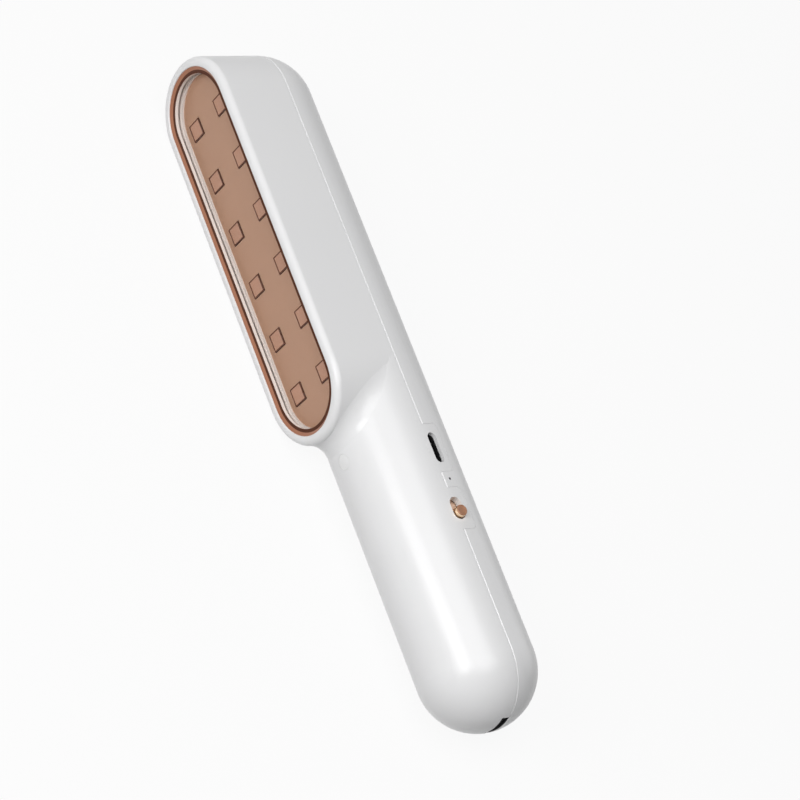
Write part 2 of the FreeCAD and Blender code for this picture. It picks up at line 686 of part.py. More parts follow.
def battery_cell():
    """Round rechargeable cell with its button end towards the head."""
    can = rod(BATTERY_RADIUS, V(BATTERY_START, 0, BATTERY_Z), V(BATTERY_END, 0, BATTERY_Z))
    can = can.makeFillet(BATTERY_CAP_HEIGHT / 2, [e for e in can.Edges if e.Curve.TypeId.endswith("Circle")])
    button = rod(BATTERY_CAP_RADIUS, V(BATTERY_END - WALL / 2, 0, BATTERY_Z),
                 V(BATTERY_END + BATTERY_CAP_HEIGHT, 0, BATTERY_Z))
    return join([can, button])


def battery_tabs():
    """Welded strips on the cell's two ends."""
    half = BATTERY_TAB_WIDTH / 2
    top = BATTERY_Z + BATTERY_RADIUS - WALL / 2
    ends = [(BATTERY_START - BATTERY_TAB_THICKNESS, BATTERY_START),
            (BATTERY_END + BATTERY_CAP_HEIGHT, BATTERY_END + BATTERY_CAP_HEIGHT + BATTERY_TAB_THICKNESS)]
    return Part.makeCompound([block(span, (-half, half), (BATTERY_Z - half, top)) for span in ends])


def battery_foam():
    """Foam between the cell's button end and its stop."""
    x = BATTERY_END + BATTERY_CAP_HEIGHT + BATTERY_TAB_THICKNESS
    half = FOAM_SIZE / 2
    return block((x, x + FOAM_THICKNESS), (-half, half), (BATTERY_Z - half, BATTERY_Z + half))


def control_board():
    """Circuit board that lies beside the battery."""
    corners = rectangle(BOARD_START + BOARD_LENGTH / 2, 0, BOARD_LENGTH, BOARD_WIDTH, BOARD_MARGIN)
    return prism(corners, BOARD_Z, BOARD_TOP)


def socket_top():
    """Mouth of the socket's shell, just under the thinned wall."""
    return socket_roof() - FIT


def usb_receptacle():
    """Metal shell of the charging socket, standing on the board."""
    outer = prism(rectangle(SOCKET_X, SOCKET_Y, SOCKET_SHELL_LENGTH, SOCKET_SHELL_WIDTH,
                            SOCKET_SHELL_WIDTH / 2), BOARD_TOP, socket_top())
    width = SOCKET_SHELL_WIDTH - 2 * SOCKET_SHELL_WALL
    inner = prism(rectangle(SOCKET_X, SOCKET_Y, SOCKET_SHELL_LENGTH - 2 * SOCKET_SHELL_WALL, width,
                            width / 2), BOARD_TOP + 2 * SOCKET_SHELL_WALL, BIG)
    return outer.cut(inner)


def usb_tongue():
    """Contact tongue in the middle of the socket."""
    corners = rectangle(SOCKET_X, SOCKET_Y, SOCKET_TONGUE_LENGTH, SOCKET_TONGUE_WIDTH)
    return prism(corners, BOARD_TOP + 2 * SOCKET_SHELL_WALL, socket_top() - SOCKET_TONGUE_SHORT)


def shutter_top():
    """Top of the knob's shutter, under the round inside of the wall."""
    return inside_height(INNER, abs(SWITCH_Y) + SHUTTER_WIDTH / 2) - SLIDE_CLEARANCE


def shutter_length():
    """The shutter hides the slot at both ends of the knob's travel."""
    return SLOT_LENGTH + SWITCH_TRAVEL + 2 * SHUTTER_LAP


def switch_housing():
    """Body of the slide switch, with the slot that its actuator runs in."""
    top = shutter_top() - SHUTTER_THICKNESS - SWITCH_TOP_GAP
    body = prism(rectangle(SWITCH_X, SWITCH_Y, SWITCH_BODY_LENGTH, SWITCH_BODY_WIDTH), BOARD_TOP, top)
    well_length = ACTUATOR_SIZE + SWITCH_TRAVEL + 2 * SLIDE_CLEARANCE
    well = prism(rectangle(SWITCH_X, SWITCH_Y, well_length, ACTUATOR_SIZE + 2 * SLIDE_CLEARANCE),
                 top - ACTUATOR_DEPTH - SLIDE_CLEARANCE, BIG)
    return body.cut(well)


def switch_actuator():
    """Lever of the slide switch, which the knob carries."""
    shutter_low = shutter_top() - SHUTTER_THICKNESS
    low = shutter_low - SWITCH_TOP_GAP - ACTUATOR_DEPTH
    return prism(rectangle(KNOB_X, SWITCH_Y, ACTUATOR_SIZE, ACTUATOR_SIZE), low, shutter_low + FORK_DEPTH)


def slide_knob():
    """Round knob on a flat shutter, with a fork that takes the switch's actuator."""
    top = shutter_top()
    low = top - SHUTTER_THICKNESS
    shutter = prism(rectangle(KNOB_X, SWITCH_Y, shutter_length(), SHUTTER_WIDTH, BOARD_MARGIN), low, top)
    knob = rod(KNOB_RADIUS, V(KNOB_X, SWITCH_Y, top - FIT), V(KNOB_X, SWITCH_Y, RADIUS + KNOB_PROUD))
    crown = [e for e in knob.Edges if e.BoundBox.ZMin > RADIUS]
    knob = knob.makeFillet(KNOB_ROUND, crown)
    fork = prism(rectangle(KNOB_X, SWITCH_Y, ACTUATOR_SIZE, ACTUATOR_SIZE), low, low + FORK_DEPTH)
    return join([shutter, knob]).cut(fork)


def status_led():
    """Small light on the board under the pin hole."""
    corners = rectangle(STATUS_X, STATUS_Y, STATUS_LED_SIZE, STATUS_LED_SIZE)
    return prism(corners, BOARD_TOP, BOARD_TOP + STATUS_LED_HEIGHT)


def light_pipe():
    """Clear pipe from the status light to the pin hole."""
    shoulder = inside_height(INNER, abs(STATUS_Y) + PIPE_BODY_RADIUS) - PIPE_SHOULDER_GAP
    tip = inside_height(RADIUS, abs(STATUS_Y)) - PIPE_SINK
    foot = rod(PIPE_BODY_RADIUS, V(STATUS_X, STATUS_Y, BOARD_TOP + STATUS_LED_HEIGHT),
               V(STATUS_X, STATUS_Y, shoulder))
    stem = rod(PIPE_TIP_RADIUS, V(STATUS_X, STATUS_Y, shoulder - FIT), V(STATUS_X, STATUS_Y, tip))
    return join([foot, stem])


def indicator_lens(outside):
    """Disc flush with the neck's front, held by a flange inside."""
    back = indicator_lens_back()
    disc = rod(INDICATOR_RADIUS, V(INDICATOR_X, back, 0), V(INDICATOR_X, RADIUS + WALL, 0)).common(outside)
    flange = rod(INDICATOR_FLANGE_RADIUS, V(INDICATOR_X, back, 0), V(INDICATOR_X, back + INDICATOR_FLANGE, 0))
    return join([disc, flange])


def indicator_board():
    """Little board on the front shell's posts."""
    front = indicator_board_front()
    half_length = INDICATOR_BOARD_LENGTH / 2
    half_width = INDICATOR_BOARD_WIDTH / 2
    return block((INDICATOR_X - half_length, INDICATOR_X + half_length),
                 (front - INDICATOR_BOARD_THICKNESS, front), (-half_width, half_width))


def indicator_led():
    """Light behind the indicator lens."""
    front = indicator_board_front()
    return square_post(INDICATOR_X, 0, INDICATOR_LED_SIZE, front, front + INDICATOR_LED_HEIGHT)


def on_board(x, y, length, width, height, radius=0.0):
    """Block that stands on the control board."""
    return prism(rectangle(x, y, length, width, radius), BOARD_TOP, BOARD_TOP + height)


def power_inductor():
    """Square inductor of the light driver."""
    y = BOARD_WIDTH / 2 - BOARD_MARGIN - INDUCTOR_SIZE / 2
    return on_board(SWITCH_X, y, INDUCTOR_SIZE, INDUCTOR_SIZE, INDUCTOR_HEIGHT, BOARD_MARGIN)


def driver_chips():
    """Charger and driver circuits."""
    y = BOARD_WIDTH / 2 - BOARD_MARGIN - CHIP_WIDTH / 2
    chips = [on_board(x, y, CHIP_LENGTH, CHIP_WIDTH, CHIP_HEIGHT) for x in (STATUS_X, SOCKET_X)]
    return Part.makeCompound(chips)


def capacitors():
    """Row of capacitors along the board's rear edge."""
    y = -BOARD_WIDTH / 2 + BOARD_MARGIN + CAPACITOR_WIDTH / 2
    step = 2 * CAPACITOR_LENGTH
    row = [on_board(SWITCH_X + step * i, y, CAPACITOR_LENGTH, CAPACITOR_WIDTH, CAPACITOR_HEIGHT)
           for i in range(3)]
    return Part.makeCompound(row)


def connector_x():
    """Middle of the two wire connectors, along the board."""
    return BOARD_END - GUIDE_LENGTH - CONNECTOR_LENGTH / 2


def connector_places():
    """Middles of the light's and the battery's wire connectors, across the board."""
    edge = BOARD_WIDTH / 2 - BOARD_MARGIN - CONNECTOR_WIDTH / 2
    return (edge, -BOARD_WIDTH / 2 + GUIDE_WIDTH + CONNECTOR_WIDTH / 2 + BOARD_MARGIN)


def wire_connectors():
    """Connectors that the wires leave towards the head."""
    return Part.makeCompound([on_board(connector_x(), y, CONNECTOR_LENGTH, CONNECTOR_WIDTH, CONNECTOR_HEIGHT)
                              for y in connector_places()])


def led_wires():
    """Two wires from the light's connector to the back of its board."""
    start_x = connector_x() + CONNECTOR_LENGTH / 2
    start_z = BOARD_TOP + CONNECTOR_HEIGHT / 2
    y = connector_places()[0]
    end_x = NECK_CENTRE - STACK + WIRE_SPREAD + WALL
    wires = []
    for side in (-0.5, 0.5):
        shift = side * WIRE_SPREAD
        wires.append(wire_route([V(start_x, y + shift, start_z),
                                 V(end_x, y + shift, start_z),
                                 V(end_x, y + shift, shift + WIRE_SPREAD),
                                 V(end_x, SPREADER_Y, shift + WIRE_SPREAD)], WIRE_RADIUS))
    return Part.makeCompound(wires)


def battery_wires():
    """One wire from each end of the cell: to the connector, and to the board's underside."""
    start_x = connector_x() + CONNECTOR_LENGTH / 2
    start_z = BOARD_TOP + CONNECTOR_HEIGHT / 2
    y = connector_places()[1]
    strip = BATTERY_END + BATTERY_CAP_HEIGHT + BATTERY_TAB_THICKNESS
    strip_z = BATTERY_Z + BATTERY_RADIUS - WALL
    turn_x = max(BOARD_END, strip) + 2 * WALL
    near = wire_route([V(start_x, y, start_z), V(turn_x, y, start_z), V(turn_x, y, strip_z),
                       V(strip, y, strip_z)], WIRE_RADIUS)
    far_x = BATTERY_START - BATTERY_TAB_THICKNESS
    side_y = BATTERY_RADIUS - WALL
    side_z = BOARD_Z - WIRE_SPREAD
    end_x = BOARD_START + GUIDE_LENGTH
    far = wire_route([V(far_x, 0, strip_z), V(far_x - WALL, 0, strip_z), V(far_x - WALL, side_y, side_z),
                      V(end_x, side_y, side_z), V(end_x, side_y, BOARD_Z)], WIRE_RADIUS)
    return Part.makeCompound([near, far])


def indicator_wires():
    """Two wires from the control board's underside to the indicator's board."""
    back = indicator_board_front() - INDICATOR_BOARD_THICKNESS
    first_z = INDICATOR_BOARD_WIDTH / 2 - WIRE_EDGE - WIRE_RADIUS
    last_z = first_z - WIRE_SPREAD
    y = inside_height(BATTERY_RADIUS + WIRE_RADIUS + FIT, last_z - BATTERY_Z)
    wires = []
    for step in (0, 1):
        start_x = STATUS_X + 2 * WALL - step * WIRE_SPREAD
        end_x = INDICATOR_X - WIRE_SPREAD / 2 + step * WIRE_SPREAD
        z = first_z - step * WIRE_SPREAD
        wires.append(wire_route([V(start_x, y, BOARD_Z), V(start_x, y, z), V(end_x, y, z),
                                 V(end_x, back, z)], WIRE_RADIUS))
    return Part.makeCompound(wires)


def save(name, shape):
    """Move a finished piece to the wand's resting place and write it."""
    placed = shape.copy()
    placed.translate(V(-LENGTH / 2, (RADIUS - HEAD_FRONT) / 2, RADIUS))
    placed.exportStep("parts/" + name + ".step")


def main():
    os.makedirs("parts", exist_ok=True)
    outside = body_form(RADIUS, HEAD_FRONT, RIM_ROUND, neck_fillet())
    hollow = body_form(INNER, LIP_Y, 0, None)
    pieces = {
        "front_shell": front_shell(outside, hollow),
        "rear_shell": rear_shell(outside, hollow),
        "trim_ring": trim_ring(),
        "spacer_ring": spacer_ring(),
        "window_lens": window_lens(),
        "reflector_plate": reflector_plate(),
        "led_packages": led_packages(),
        "led_board": led_board(),
        "heat_spreader": heat_spreader(),
        "stack_screws": stack_screws(),
        "battery_cell": battery_cell(),
        "battery_tabs": battery_tabs(),
        "battery_foam": battery_foam(),
        "control_board": control_board(),
        "usb_receptacle": usb_receptacle(),
        "usb_tongue": usb_tongue(),
        "switch_housing": switch_housing(),
        "switch_actuator": switch_actuator(),
        "slide_knob": slide_knob(),
        "status_led": status_led(),
        "light_pipe": light_pipe(),
        "indicator_lens": indicator_lens(outside),
        "indicator_board": indicator_board(),
        "indicator_led": indicator_led(),
        "power_inductor": power_inductor(),
        "driver_chips": driver_chips(),
        "capacitors": capacitors(),
        "wire_connectors": wire_connectors(),
        "led_wires": led_wires(),
        "battery_wires": battery_wires(),
        "indicator_wires": indicator_wires(),
        "lanyard_bar": lanyard_bar_solid(),
    }
    for name, shape in pieces.items():
        save(name, shape)
        print(name, len(shape.Solids), shape.isValid(), round(shape.Volume, 1))


main()
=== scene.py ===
import json
import math

import bmesh
import bpy
from bpy.props import FloatProperty, FloatVectorProperty, IntProperty, PointerProperty
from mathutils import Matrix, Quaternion, Vector

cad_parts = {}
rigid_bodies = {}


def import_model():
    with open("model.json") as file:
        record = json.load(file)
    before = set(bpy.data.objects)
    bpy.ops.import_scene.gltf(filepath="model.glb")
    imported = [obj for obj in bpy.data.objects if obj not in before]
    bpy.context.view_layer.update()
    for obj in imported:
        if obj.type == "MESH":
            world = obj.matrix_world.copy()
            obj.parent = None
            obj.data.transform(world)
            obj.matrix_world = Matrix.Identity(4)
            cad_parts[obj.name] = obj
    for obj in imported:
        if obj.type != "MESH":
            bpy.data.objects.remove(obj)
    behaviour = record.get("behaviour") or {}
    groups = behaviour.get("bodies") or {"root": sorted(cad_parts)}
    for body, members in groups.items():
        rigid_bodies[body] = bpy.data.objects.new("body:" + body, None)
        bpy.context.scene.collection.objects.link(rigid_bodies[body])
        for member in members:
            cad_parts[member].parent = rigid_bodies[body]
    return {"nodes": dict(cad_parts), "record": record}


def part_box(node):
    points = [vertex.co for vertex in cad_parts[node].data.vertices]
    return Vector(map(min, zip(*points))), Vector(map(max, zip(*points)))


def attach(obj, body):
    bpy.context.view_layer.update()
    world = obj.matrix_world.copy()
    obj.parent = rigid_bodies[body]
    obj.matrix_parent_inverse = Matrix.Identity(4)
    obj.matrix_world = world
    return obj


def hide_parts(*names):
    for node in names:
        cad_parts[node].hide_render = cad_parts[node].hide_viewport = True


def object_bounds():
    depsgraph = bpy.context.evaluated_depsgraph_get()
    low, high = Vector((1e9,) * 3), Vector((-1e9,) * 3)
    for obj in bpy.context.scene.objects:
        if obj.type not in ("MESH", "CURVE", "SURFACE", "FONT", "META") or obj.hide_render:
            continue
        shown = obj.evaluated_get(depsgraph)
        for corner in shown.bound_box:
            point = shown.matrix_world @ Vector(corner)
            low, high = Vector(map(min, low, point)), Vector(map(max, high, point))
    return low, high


bl_info = {
    "name": "Light Wand",
    "version": (1, 0, 0),
    "blender": (4, 5, 0),
    "location": "View3D > Sidebar > Light Wand",
    "description": "Dresses the packed light wand with its finishes, its small pieces and a studio",
    "category": "Object",
}

for leftover in list(bpy.data.objects):
    bpy.data.objects.remove(leftover)
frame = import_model()
NODES = frame["nodes"]
CAD_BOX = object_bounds()

MM = 0.001
FLAKE = 0.16 * MM  # metal flake in the copper lacquer
HAIR = 0.05 * MM  # width of a brushed line


def middle(node):
    """Middle of a node's box."""
    low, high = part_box(node)
    return (low + high) / 2


# Sizes and colours that a user may change


class WandSizes(bpy.types.PropertyGroup):
    emitter_size: FloatProperty(
        name="Emitter size", description="Side of one light-emitting square",
        default=5.0 * MM, min=1.0 * MM, unit="LENGTH")
    emitter_frame: FloatProperty(
        name="Emitter frame", description="Width of the dark frame round a square's face",
        default=0.34 * MM, min=0.01 * MM, unit="LENGTH")
    emitter_sink: FloatProperty(
        name="Emitter sink", description="How far a square's face lies below its frame",
        default=0.06 * MM, min=0.0, unit="LENGTH")
    emitter_rows: IntProperty(
        name="Emitter rows", description="Squares along the head", default=6, min=1)
    slot_length: FloatProperty(
        name="Slot length", description="Length of the strap slot at the handle's end",
        default=10.6 * MM, min=1.0 * MM, unit="LENGTH")
    slot_width: FloatProperty(
        name="Slot width", description="Width of the strap slot",
        default=2.3 * MM, min=0.5 * MM, unit="LENGTH")
    # The slot's dark walls are painted shade, reaching this far in from the mouth.
    slot_depth: FloatProperty(
        name="Slot depth", description="How far in from the slot's mouth its dark walls reach",
        default=6.3 * MM, min=1.0 * MM, unit="LENGTH")
    knob_radius: FloatProperty(
        name="Knob radius", description="Radius of the switch's knob",
        default=1.55 * MM, min=0.5 * MM, unit="LENGTH")
    knob_dish: FloatProperty(
        name="Knob dish", description="How far the knob's top is sunk inside its edge",
        default=0.04 * MM, min=0.0, unit="LENGTH")
    shutter_thickness: FloatProperty(
        name="Shutter thickness", description="Thickness of the plate that the knob stands on",
        default=0.8 * MM, min=0.2 * MM, unit="LENGTH")
    shutter_corner: FloatProperty(
        name="Shutter corner", description="Radius of that plate's corners",
        default=1.0 * MM, min=0.1 * MM, unit="LENGTH")
    knob_chamfer: FloatProperty(
        name="Knob chamfer", description="Bright edge round the knob's top",
        default=0.22 * MM, min=0.02 * MM, unit="LENGTH")
    knob_segments: IntProperty(
        name="Knob segments", description="Faces round the knob", default=64, min=12)
    contact_length: FloatProperty(
        name="Contact length", description="Length of one contact on the socket's tongue",
        default=3.4 * MM, min=0.2 * MM, unit="LENGTH")
    contact_width: FloatProperty(
        name="Contact width", description="Width of one contact",
        default=0.28 * MM, min=0.05 * MM, unit="LENGTH")
    contact_pitch: FloatProperty(
        name="Contact pitch", description="Step from one contact to the next",
        default=0.5 * MM, min=0.1 * MM, unit="LENGTH")
    contacts: IntProperty(
        name="Contacts", description="Contacts on one face of the tongue", default=12, min=2)
    # The dark band on the ledge is partly a dark finish and partly painted shade.
    ledge_shade_band: FloatProperty(
        name="Ledge band", description="Width of the dark band along the trim ring's inner edge",
        default=0.95 * MM, min=0.1 * MM, unit="LENGTH")
    trim_inset: FloatProperty(
        name="Trim inset", description="From the trim ring's outer edge in to its inner edge",
        default=2.36 * MM, min=0.2 * MM, unit="LENGTH")
    slope_drop: FloatProperty(
        name="Slope drop", description="How far the trim ring's ledge lies below its outer edge",
        default=0.48 * MM, min=0.1 * MM, unit="LENGTH")


def colour_property(name, description, default):
    """A colour that the user may change."""
    return FloatVectorProperty(name=name, description=description, subtype="COLOR", size=3,
                               min=0.0, max=1.0, default=default)


class WandColours(bpy.types.PropertyGroup):
    casing: colour_property("Casing", "White gloss plastic of the two shells", (0.72, 0.72, 0.725))
    # Painted shade: colour of the strap slot's inner walls, standing in for the shade inside the slot.
    slot_painted_shade: colour_property("Slot inside", "Dark walls of the strap slot",
                                 (0.03, 0.03, 0.031))
    trim: colour_property("Trim", "Copper slope of the ring inside the rim", (0.35, 0.152, 0.088))
    # Partly painted shade: the ledge's dark colour also stands in for the shade along the ring's inner
    # edge.
    trim_ledge_shade: colour_property("Trim ledge", "Dark ledge of that ring", (0.085, 0.026, 0.011))
    spacer: colour_property("Spacer", "Pale ring that seats the window", (0.80, 0.74, 0.70))
    window: colour_property("Window", "Tint of the clear window's glints", (0.40, 0.33, 0.28))
    reflector: colour_property("Reflector", "Copper plate behind the window", (0.46, 0.257, 0.162))
    emitter_face: colour_property("Emitter face", "Face of a light-emitting square",
                                  (0.49, 0.255, 0.165))
    shutter: colour_property("Shutter", "Tan plate that the knob stands on", (0.72, 0.50, 0.37))
    # Partly painted shade: the frame's dark colour is its own, and the sides are coloured dark where
    # shade falls.
    emitter_edge: colour_property("Emitter edge", "Frame and sides of a square", (0.13, 0.04, 0.02))
    knob: colour_property("Knob", "Copper of the knob's blasted top", (0.30, 0.145, 0.08))
    knob_side: colour_property("Knob side", "Polished copper of the knob's side", (0.96, 0.70, 0.48))
    indicator: colour_property("Indicator", "Milky disc at the neck", (0.74, 0.74, 0.74))


class StageSettings(bpy.types.PropertyGroup):
    floor_colour: colour_property("Floor", "Colour of the floor", (0.65, 0.65, 0.65))
    floor_glow: FloatProperty(
        name="Floor glow", description="Share of the floor that shows plain white",
        default=0.92, min=0.0, max=1.0, subtype="FACTOR")
    sky: FloatProperty(
        name="Sky", description="Strength of the soft light from all round", default=0.02, min=0.0)
    lamp_distance: FloatProperty(
        name="Lamp distance", description="From the wand's middle to each lamp",
        default=0.8, min=0.1, unit="LENGTH")
    key_power: FloatProperty(
        name="Key power", description="Power of the lamp before the window",
        default=3.6, min=0.0, unit="POWER")
    key_size: FloatProperty(
        name="Key size", description="Side of that lamp", default=0.36, min=0.01, unit="LENGTH")
    top_power: FloatProperty(
        name="Top power", description="Power of the lamp over the wand",
        default=4.05, min=0.0, unit="POWER")
    top_size: FloatProperty(
        name="Top size", description="Side of that lamp", default=0.55, min=0.01, unit="LENGTH")
    fill_power: FloatProperty(
        name="Fill power", description="Power of each weak lamp, behind the wand and off its tip",
        default=0.8, min=0.0, unit="POWER")
    fill_size: FloatProperty(
        name="Fill size", description="Side of each weak lamp", default=0.5, min=0.01, unit="LENGTH")
    floor_reach: FloatProperty(
        name="Floor reach", description="From the floor's middle to its sides",
        default=6.0, min=0.5, unit="LENGTH")
    camera_place: FloatVectorProperty(
        name="Camera place", description="Where the camera stands", size=3,
        default=(-0.2245, 0.42586, 0.51802), subtype="TRANSLATION", unit="LENGTH")
    camera_target: FloatVectorProperty(
        name="Camera target", description="Point that the camera looks at", size=3,
        default=(-0.00822, -0.00836, 0.02022), subtype="TRANSLATION", unit="LENGTH")
    camera_roll: FloatProperty(
        name="Camera roll", description="Turn of the camera about its line of sight",
        default=math.radians(48.727), unit="ROTATION")
    lens: FloatProperty(
        name="Lens", description="Camera's focal length in millimetres",
        default=118.79, min=1.0, unit="CAMERA")


# Node building


class Value:
    """An output of a node. Sums and products on it add Math nodes to its tree."""

    def __init__(self, graph, socket):
        self.graph = graph
        self.socket = socket

    def also(self, output):
        """Another output of the same node."""
        return Value(self.graph, self.socket.node.outputs[output])

    def __add__(self, other):
        return self.graph.maths("ADD", self, other)

    def __radd__(self, other):
        return self.graph.maths("ADD", other, self)

    def __sub__(self, other):
        return self.graph.maths("SUBTRACT", self, other)

    def __rsub__(self, other):
        return self.graph.maths("SUBTRACT", other, self)

    def __mul__(self, other):
        return self.graph.maths("MULTIPLY", self, other)

    def __rmul__(self, other):
        return self.graph.maths("MULTIPLY", other, self)

    def __truediv__(self, other):
        return self.graph.maths("DIVIDE", self, other)

    def __gt__(self, other):
        return self.graph.maths("GREATER_THAN", self, other)

    def __lt__(self, other):
        return self.graph.maths("LESS_THAN", self, other)


class Graph:
    """A node tree, of a material, the world or a rule that makes geometry."""

    def __init__(self, tree):
        self.tree = tree

    def node(self, kind, settings=None, inputs=None, output=0):
        """Add a node: its settings first, then a number or a link for each input."""
        made = self.tree.nodes.new(kind)
        for name, value in (settings or {}).items():
            setattr(made, name, value)
        for name, value in (inputs or {}).items():
            entry = made.inputs[name]
            if isinstance(value, Value):
                self.tree.links.new(value.socket, entry)
            elif entry.type == "RGBA":
                entry.default_value = (*value, 1.0)
            else:
                entry.default_value = value
        return Value(self, made.outputs[output]) if made.outputs else None

    def maths(self, operation, first, second):
        """A Math node on two inputs, each a number or a link."""
        return self.node("ShaderNodeMath", {"operation": operation}, {0: first, 1: second})


class Finish(Graph):
    """A material for one of the wand's surfaces."""

    def __init__(self, name):
        self.material = bpy.data.materials.new(name)
        self.material.use_nodes = True
        super().__init__(self.material.node_tree)
        self.tree.nodes.clear()
        self.place = self.node("ShaderNodeTexCoord", output="Object")

    def noise(self, size, detail=2.0, roughness=0.5):
        """Cloudy pattern from 0 to 1 whose patches are about that size."""
        return self.node("ShaderNodeTexNoise", {},
                         {"Vector": self.place, "Scale": 1 / size, "Detail": detail,
                          "Roughness": roughness})

    def stretched_noise(self, sizes):
        """Cloudy pattern with a different patch size along each axis."""
        scaled = self.node("ShaderNodeVectorMath", {"operation": "MULTIPLY"},
                           {0: self.place, 1: [1 / size for size in sizes]})
        return self.node("ShaderNodeTexNoise", {}, {"Vector": scaled, "Scale": 1.0, "Detail": 3.0})

    def blend(self, share, first, second):
        """Mix of two colours, each an (r, g, b) or a link."""
        return self.node("ShaderNodeMix", {"data_type": "RGBA"},
                         {0: share, 6: first, 7: second}, output=2)

    def shades(self, share, colour, spread):
        """A colour that wanders a little darker and lighter."""
        low = [c * (1 - spread) for c in colour]
        high = [min(1.0, c * (1 + spread)) for c in colour]
        return self.blend(share, low, high)

    def relief(self, height, depth, normal=None):
        """Bump from a height pattern, depth being its real depth."""
        inputs = {"Height": height, "Distance": depth, "Strength": 1.0}
        if normal:
            inputs["Normal"] = normal
        return self.node("ShaderNodeBump", {}, inputs)

    def coordinate(self, axis):
        """Place along X, Y or Z."""
        return self.node("ShaderNodeSeparateXYZ", {}, {0: self.place}, output=axis)

    def within(self, low, high):
        """1 inside the box between two corners and 0 outside it."""
        share = 1.0
        for axis in range(3):
            place = self.coordinate(axis)
            share = (place > low[axis]) * (place < high[axis]) * share
        return share

    def surface(self, **inputs):
        """Close the material with a Principled shader; _ in a name stands for a space."""
        named = {name.replace("_", " "): value for name, value in inputs.items()}
        shader = self.node("ShaderNodeBsdfPrincipled", {}, named)
        self.node("ShaderNodeOutputMaterial", {}, {"Surface": shader})
        return self.material


# Finishes


def moulded_gloss(name, colour, roughness=0.27, shaded_hollow=None):
    """Glossy moulded plastic: faint flow marks, and a skin that is a little uneven.

    The optional box argument gives two corners and a dark colour, painted as shade on the faces inside
    the box."""
    finish = Finish(name)
    clouds = finish.noise(28 * MM)
    skin = finish.noise(6 * MM, 1.0)
    pores = finish.noise(0.35 * MM, 3.0)
    bump = finish.relief(skin, 0.004 * MM)
    body = finish.shades(clouds, colour, 0.012)
    # Painted shade: faces inside the box take its dark colour.
    if shaded_hollow:
        low, high, dark = shaded_hollow
        body = finish.blend(finish.within(low, high), body, dark)
    return finish.surface(
        Base_Color=body,
        Roughness=roughness + 0.05 * pores, IOR=1.45,
        Normal=finish.relief(pores, 0.0012 * MM, bump))


def satin_copper(name, colour, metallic, roughness):
    """Copper lacquer: fine metal flakes under a satin coat."""
    finish = Finish(name)
    flakes = finish.noise(FLAKE, 3.0, 0.65)
    clouds = finish.noise(14 * MM)
    return finish.surface(
        Base_Color=finish.shades(0.6 * flakes + 0.4 * clouds, colour, 0.05),
        Metallic=metallic, Roughness=roughness + 0.1 * flakes,
        Normal=finish.relief(flakes, 0.0015 * MM))


def racetrack_distance(finish, low, high):
    """Distance out from the middle line of a ring with round ends, as a value."""
    radius = (high.z - low.z) / 2
    along = finish.coordinate(0)
    past = finish.maths("MAXIMUM", low.x + radius - along, along - (high.x - radius))
    past = finish.maths("MAXIMUM", past, 0.0)
    across = finish.coordinate(2) - (low.z + high.z) / 2
    return finish.node("ShaderNodeMath", {"operation": "SQRT"}, {0: past * past + across * across})


def banded_trim(name, slope, ledge, wall):
    """Ring inside the rim: copper slope, dark ledge, and a pale wall down to the window. The ledge's
    dark colour is partly its own dark finish and partly painted shade along the ring's inner edge.
    """
    finish = Finish(name)
    low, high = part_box("trim_ring")
    out = racetrack_distance(finish, low, high)
    flakes = finish.noise(FLAKE, 3.0, 0.65)
    inner_edge = (high.z - low.z) / 2 - sizes().trim_inset
    on_slope = out > inner_edge + sizes().ledge_shade_band
    below_ledge = 0.03 * MM
    on_wall = finish.coordinate(1) < high.y - sizes().slope_drop - below_ledge
    # The ledge's dark colour is partly painted shade along the ring's inner edge.
    inner = finish.blend(on_wall, ledge, wall)
    return finish.surface(
        Base_Color=finish.blend(on_slope, inner, finish.shades(flakes, slope, 0.05)),
        Metallic=0.9 - 0.3 * on_slope - 0.9 * on_wall, Roughness=0.24 + 0.1 * flakes,
        Normal=finish.relief(flakes, 0.0015 * MM))


def clear_window(name, tint):
    """Clear hard window: nearly all of it is seen through, and its face glints."""
    finish = Finish(name)
    facing = finish.node("ShaderNodeLayerWeight", {}, {"Blend": 0.5}, output="Facing")
    glint = finish.maths("POWER", facing, 4.0)
    haze = finish.noise(9 * MM)
    return finish.surface(
        Base_Color=tint, Roughness=0.04 + 0.03 * haze, IOR=1.49,
        Alpha=0.02 + 0.5 * glint + 0.01 * haze)


def brushed_metal(name, colour, roughness, along=(3 * MM, HAIR, HAIR)):
    """Metal with fine lines, along giving their size on each axis."""
    finish = Finish(name)
    lines = finish.stretched_noise(along)
    return finish.surface(
        Base_Color=finish.shades(lines, colour, 0.08), Metallic=1.0,
        Roughness=roughness + 0.12 * lines, Normal=finish.relief(lines, 0.002 * MM))


def blasted_copper(name, colour):
    """Bead-blasted copper with a speckle of fine pits."""
    finish = Finish(name)
    pits = finish.node("ShaderNodeTexVoronoi", {"feature": "F1"},
                       {"Vector": finish.place, "Scale": 1 / (0.11 * MM)})
    grains = finish.noise(0.5 * MM, 4.0, 0.7)
    return finish.surface(
        Base_Color=finish.shades(0.3 * pits + 0.7 * grains, colour, 0.55), Metallic=0.5,
        Roughness=0.45 + 0.14 * grains, Normal=finish.relief(pits, 0.01 * MM))


def milky_plastic(name, colour, roughness=0.28):
    """Light-spreading plastic with a soft body."""
    finish = Finish(name)
    clouds = finish.noise(1.2 * MM)
    return finish.surface(
        Base_Color=finish.shades(clouds, colour, 0.02), Roughness=roughness + 0.06 * clouds,
        Subsurface_Weight=0.15, Subsurface_Radius=(0.6, 0.6, 0.6), Subsurface_Scale=0.4 * MM,
        Normal=finish.relief(clouds, 0.003 * MM))


